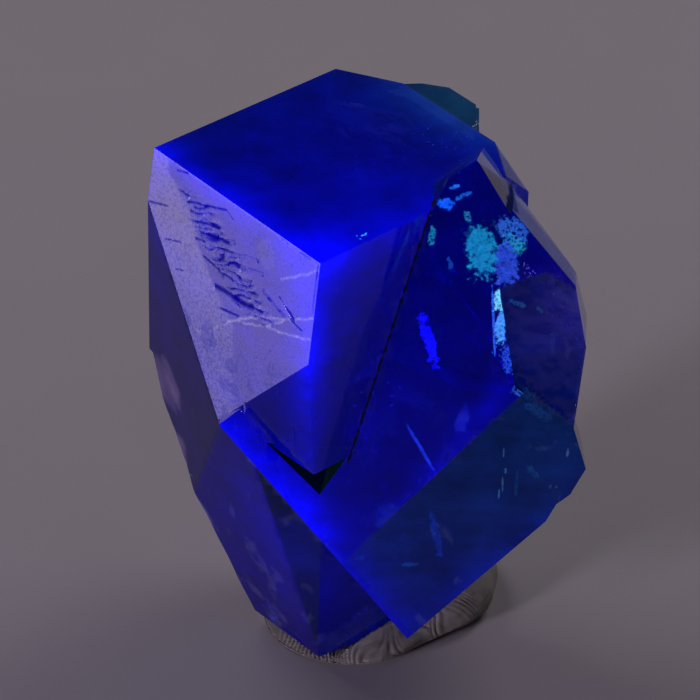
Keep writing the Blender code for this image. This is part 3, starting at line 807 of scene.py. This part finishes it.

# Healed fracture in fluorite: a film of tiny cavities, matt; the light it catches from the crystal is
# painted light, given as emission
veilLook = {
    "base": "#06081c",
    "roughness": 0.6,
    "glow": 1.15,
    "plume": 0.4545,      # mm, size of the feathery patches
    "cavity": 0.3333,     # mm
    "bend": 0.7,          # mm, how far the patches bend the rows of cavities
    "fray": 3.2,          # how ragged a sheet's edge is
    "edge": (0.2, 0.62),  # cover from which a sheet shows, and where it is full
}


def makeVeil():
    look = veilLook
    material, tree, shader = newMaterial("healedFractureWithPaintedGlow")
    tint = addNode(tree, "Attribute", attribute_name="tint")
    cover = addNode(tree, "Attribute", attribute_name="cover").outputs["Fac"]
    crackle = addNode(tree, "Attribute", attribute_name="crackle").outputs["Fac"]
    place = addNode(tree, "TexCoord").outputs["Object"]
    plume = addNode(tree, "TexNoise", {
        "Vector": place, "Scale": patternScale(look["plume"]), "Detail": 7.0, "Roughness": 0.66,
    })
    bent = addNode(tree, "VectorMath", {
        0: plume.outputs["Color"], 1: [look["bend"] * mm] * 3, 2: place,
    }, operation="MULTIPLY_ADD")
    cells = addNode(tree, "TexVoronoi", {
        "Vector": bent, "Scale": patternScale(look["cavity"]),
    }, feature="DISTANCE_TO_EDGE")
    rims = addNode(tree, "MapRange", {
        "Value": cells, "From Min": 0.04, "From Max": 0.30, "To Min": 1.25, "To Max": 0.12,
    })
    soft = addNode(tree, "MapRange", {
        "Value": plume, "From Min": 0.32, "From Max": 0.68, "To Min": 0.45, "To Max": 1.3,
    })
    pattern = addNode(tree, "Mix", {"Factor": crackle, "A": soft, "B": rims})
    light = addNode(tree, "VectorMath", {0: tint.outputs["Color"], "Scale": pattern}, operation="SCALE")

    # Ragged edges, and holes between the rims where it crackles
    ragged = addNode(tree, "Math", {0: plume, 1: 0.5}, operation="SUBTRACT")
    torn = addNode(tree, "Math", {0: ragged, 1: look["fray"], 2: cover}, operation="MULTIPLY_ADD")
    first, full = look["edge"]
    alpha = addNode(tree, "MapRange", {
        "Value": torn, "From Min": first, "From Max": full,
    }, interpolation_type="SMOOTHSTEP")
    holes = addNode(tree, "MapRange", {
        "Value": rims, "From Min": 0.12, "From Max": 0.7, "To Min": 0.15, "To Max": 1.0,
    })
    pierced = addNode(tree, "Mix", {"Factor": crackle, "A": 1.0, "B": holes})
    seen = addNode(tree, "Math", {0: alpha, 1: pierced}, operation="MULTIPLY")
    kept = addNode(tree, "Math", {0: seen, 1: tint.outputs["Alpha"]}, operation="MULTIPLY")
    fillNode(tree, shader, {
        "Base Color": rgba(look["base"]), "Roughness": look["roughness"], "Alpha": kept,
        "Emission Color": light, "Emission Strength": look["glow"],
    })
    return material


def addSheet(points, faces, paint, start, end, wide, colour, strength, crackle, face):
    start, end = np.array(start), np.array(end)
    along = end - start
    across = np.array([-along[1], along[0]]) / np.hypot(*along)
    stretch, widen = veils["overlap"]
    cells = veils["cells"]
    first = len(points)
    for row in range(cells + 1):
        for column in range(cells + 1):
            u, v = 2.0 * row / cells - 1.0, 2.0 * column / cells - 1.0
            spot = (start + end) / 2 + along * stretch / 2 * u + across * wide * widen * v
            wave = veils["wave"] * noise.noise(Vector((spot[0] * 1.3, spot[1] * 1.3, face)))
            points.append(twinToWorld((*spot, face + veils["glassDepth"] + wave)))
            cover = max(0.0, 1.0 - (abs(u) ** 2.6 + abs(v) ** 2))
            cover *= veils["narrowCover"] if wide < veils["narrow"] else 1.0
            paint.append(((*linear(colour), strength), cover, crackle))
    for row in range(cells):
        for column in range(cells):
            corner = first + row * (cells + 1) + column
            faces.append((corner, corner + 1, corner + cells + 2, corner + cells + 1))


def addFlake(points, faces, paint, chance, centre, size, colour, toWorld):
    # A long thin five-sided flake
    first = len(points)
    turn = chance.uniform(0.0, 2.0 * pi)
    lean = chance.uniform(-0.4, 0.4, 3)
    for corner in range(5):
        angle = turn + corner * 0.4 * pi
        reach = size * chance.uniform(0.5, 1.0)
        offset = np.array([cos(angle), 0.4 * sin(angle), 0.0]) * reach
        long, wide = offset[:2].copy()
        offset[:2] = long * cos(turn) - wide * sin(turn), long * sin(turn) + wide * cos(turn)
        offset[2] = offset @ lean
        points.append(toWorld(np.array(centre) + offset))
        paint.append((rgba(colour), 3.0, 0.0))
    faces.append(tuple(range(first, first + 5)))


def buildVeils(crystalMesh):
    chance = np.random.default_rng(veils["seed"])
    points, faces, paint = [], [], []
    for sheet in veils["sheets"].values():
        addSheet(points, faces, paint, *sheet)
    for centre, spread, count, sizes, colour, face in veils["flakes"]:
        for _ in range(count):
            u, v = np.array(centre) + np.array(spread) * chance.normal(0.0, 0.5, 2)
            depth = face + veils["glassDepth"] * chance.uniform(*veils["depthSpread"])
            size = chance.uniform(*sizes)
            addFlake(points, faces, paint, chance, (u, v, depth), size, colour, twinToWorld)
    for centre, spread, count, sizes, colour in veils["cubeFlakes"]:
        for _ in range(count):
            spot = np.array(centre) + np.array(spread) * np.clip(chance.normal(0.0, 0.5, 3), -1.0, 1.0)
            size = chance.uniform(*sizes)
            addFlake(points, faces, paint, chance, spot, size, colour, cubeToWorld)

    # Only what lies wholly inside the crystal is kept
    stone = BVHTree.FromPolygons(
        [vert.co.copy() for vert in crystalMesh.vertices],
        [tuple(face.vertices) for face in crystalMesh.polygons],
    )

    def isInside(point):
        spot, normal, _, distance = stone.find_nearest(point)
        return (point - spot).dot(normal) < 0.0 and distance > veils["shallowest"] * mm

    inside = [isInside(Vector(point)) for point in points]
    faces = [face for face in faces if all(inside[corner] for corner in face)]
    sheets = bpy.data.meshes.new("sheets")
    sheets.from_pydata(points, [], faces)
    tints, covers, crackles = zip(*paint)
    addAttribute(sheets, "tint", "POINT", tints)
    addAttribute(sheets, "cover", "POINT", covers)
    addAttribute(sheets, "crackle", "POINT", crackles)
    shape = bmesh.new()
    shape.from_mesh(sheets)
    bmesh.ops.delete(shape, geom=[vert for vert in shape.verts if not vert.link_faces], context="VERTS")
    mesh = newMesh("innerVeils", shape)
    mesh.materials.append(makeVeil())
    piece = newObject("fluorite_inner_veils", mesh)
    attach(piece, "root")
    print("veils have", len(mesh.polygons), "faces")


buildVeils(fluorite.data)

# Contact line of the two crystals: a narrow dark fillet in the corner between their front faces, painted
# shade along the line where they meet
seam = {
    # heights of its stations on the first cube's front face, in mm
    "heights": (1.0, -0.4, -3.3, -5.7, -8.4, -11.2, -14.0, -17.6, -20.6, -21.9),
    "steps": 160,
    "width": 0.11,         # mm, on average; it comes and goes along the corner
    "uneven": (1.5, 1.9),  # how much the width changes, and how often per mm
    "thinnest": 0.15,      # share of the width
    "proud": 0.015,        # mm, how far its edges stand out of the faces
    "hollow": 0.25,        # how far its middle is drawn into the corner
    "root": (0.1, 0.08),   # mm, how deep it reaches behind the corner
    "tint": "#02020e",
    "speckTint": "#04042c",
    "speck": 0.4,          # mm
    "glow": 0.6,
    "roughness": 0.7,
}


def makeSeam():
    # Painted shade in the corner between the crystals: dull, nearly black, specked
    material, tree, shader = newMaterial("paintedCornerShade")
    place = addNode(tree, "TexCoord").outputs["Object"]
    speck = addNode(tree, "TexNoise", {
        "Vector": place, "Scale": patternScale(seam["speck"]), "Detail": 4.0,
    })
    tint = addNode(tree, "Mix", {
        "Factor": speck, "A": rgba(seam["tint"]), "B": rgba(seam["speckTint"]),
    }, data_type="RGBA")
    fillNode(tree, shader, {
        "Base Color": tint, "Roughness": seam["roughness"],
        "Emission Color": tint, "Emission Strength": seam["glow"],
    })
    return material


def buildSeam():
    twinOut = twinTurn @ Vector((0.0, 0.0, -1.0))
    alongTwin = (Vector((0.0, -1.0, 0.0)) - twinOut * -twinOut.y).normalized()
    alongCube = Vector((-1.0, 0.0, 0.0))
    change, often = seam["uneven"]
    points, faces = [], []
    stations = np.linspace(0.0, 1.0, len(seam["heights"]))
    for step in range(seam["steps"] + 1):
        # the corner, where the twin's front face meets the first cube's front face at this height
        z = np.interp(step / seam["steps"], stations, seam["heights"])
        corner = Vector(((slabDistance - twinOut.z * z) / twinOut.x, 0.0, z))
        swell = 1.0 + change * noise.noise(Vector((z * often, 0.0, 4.0)))
        wide = seam["width"] * max(seam["thinnest"], swell)
        onCube = corner + alongCube * wide + Vector((0.0, -seam["proud"], 0.0))
        onTwin = corner + alongTwin * wide + twinOut * seam["proud"]
        chord = (onCube + onTwin) / 2
        middle = chord + (corner - chord) * seam["hollow"]
        for point in (onCube, middle, onTwin, corner + Vector((*seam["root"], 0.0))):
            points.append(cubeToWorld(point))
        if step:
            first = 4 * (step - 1)
            for side in range(4):
                after = (side + 1) % 4
                faces.append((first + side, first + after, first + 4 + after, first + 4 + side))
    faces.append((3, 2, 1, 0))
    last = 4 * seam["steps"]
    faces.append((last, last + 1, last + 2, last + 3))
    mesh = bpy.data.meshes.new("contactSeam")
    mesh.from_pydata(points, [], faces)
    mesh.materials.append(makeSeam())
    piece = newObject("fluorite_contact_seam", mesh)
    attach(piece, "root")
    print("contact seam has", len(mesh.polygons), "faces")


buildSeam()

# Mineral tack: grey putty, pressed on with the fingers
tack = {
    "weld": 0.01,          # mm
    "pitch": 0.14,         # mm, mesh spacing
    "refinings": 7,
    "longest": 1.7,        # an edge longer than this many pitches is halved
    "flatFoot": 0.05,      # mm, left as it is below this height
    "underside": -0.4,     # and where the face looks down more than this
    "ridgeStep": 0.48,     # mm, skin ridges of a finger
    "ridgeDepth": 0.13,
    "ridgeTravel": (10.0, 0.55, 2.4),  # mm for a radian around, per mm of height, and of swirl
    "swirlScale": 0.22,    # per mm
    "printScale": 0.3,     # per mm, patches where a finger pressed
    "printSpread": (2.0, 0.75),  # their contrast and weight
    "lumpDepth": 0.12,
    "lumpSize": 2.2,
    "colour": "#a39c92",
    "soil": "#7c766e",
    "smudge": 2.381,       # mm
    "gloss": (0.9, 0.62),  # roughness, clean and smudged
    "grit": 0.1667,        # mm
    "gritBump": 0.35,
    "gritDepth": 0.02,     # mm
}


def makeTack():
    # Polybutene putty, kneaded: matt, slightly greasy, with darker smudges from handling
    material, tree, shader = newMaterial("kneadedPolybutenePutty")
    place = addNode(tree, "TexCoord").outputs["Object"]
    smudge = addNode(tree, "TexNoise", {
        "Vector": place, "Scale": patternScale(tack["smudge"]), "Detail": 5.0, "Roughness": 0.6,
    })
    soiled = addNode(tree, "MapRange", {"Value": smudge, "From Min": 0.4, "From Max": 0.7})
    tint = addNode(tree, "Mix", {
        "Factor": soiled, "A": rgba(tack["colour"]), "B": rgba(tack["soil"]),
    }, data_type="RGBA")
    clean, smudged = tack["gloss"]
    gloss = addNode(tree, "MapRange", {"Value": smudge, "To Min": clean, "To Max": smudged})
    grit = addNode(tree, "TexNoise", {
        "Vector": place, "Scale": patternScale(tack["grit"]), "Detail": 2.0,
    })
    bump = addNode(tree, "Bump", {
        "Height": grit, "Strength": tack["gritBump"], "Distance": tack["gritDepth"] * mm,
    })
    fillNode(tree, shader, {"Base Color": tint, "Roughness": gloss, "Normal": bump})
    return material


def buildTack():
    shape = bmesh.new()
    shape.from_mesh(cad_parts["mineral_tack"].data)
    bmesh.ops.remove_doubles(shape, verts=shape.verts, dist=tack["weld"] * mm)
    bmesh.ops.triangulate(shape, faces=shape.faces)
    foot = tack["flatFoot"] * mm
    for _ in range(tack["refinings"]):
        longer = [edge for edge in shape.edges if edge.calc_length() > tack["longest"] * tack["pitch"] * mm
                  and max(vert.co.z for vert in edge.verts) > foot]
        if not longer:
            break
        bmesh.ops.subdivide_edges(shape, edges=longer, cuts=1)
        bmesh.ops.triangulate(shape, faces=shape.faces)
    shape.normal_update()
    perTurn, perHeight, perSwirl = tack["ridgeTravel"]
    contrast, weight = tack["printSpread"]
    for vert in shape.verts:
        if vert.co.z < foot or vert.normal.z < tack["underside"]:
            continue
        place = vert.co / mm
        swirl = noise.noise(place * tack["swirlScale"])
        travel = atan2(place.y, place.x) * perTurn + place.z * perHeight + perSwirl * swirl
        skin = 0.5 + 0.5 * sin(2.0 * pi * travel / tack["ridgeStep"])
        pressed = noise.noise((place + Vector((0.0, 0.0, 9.0))) * tack["printScale"])
        mask = min(1.0, max(0.0, weight + contrast * pressed))
        lump = 0.5 + 0.5 * noise.noise(place / tack["lumpSize"])
        depth = tack["ridgeDepth"] * skin ** 2 * mask + tack["lumpDepth"] * lump
        vert.co -= vert.normal * mm * depth
    bmesh.ops.triangulate(shape, faces=shape.faces)
    mesh = newMesh("mineralTack", shape)
    mesh.materials.append(makeTack())
    piece = newObject("mineral_tack_pad", mesh)
    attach(piece, "root")
    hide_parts("mineral_tack")
    print("tack has", len(mesh.polygons), "triangles")


buildTack()

# The look of the room is plain: colours are shown as they are
blenderScene.view_settings.view_transform = "Standard"
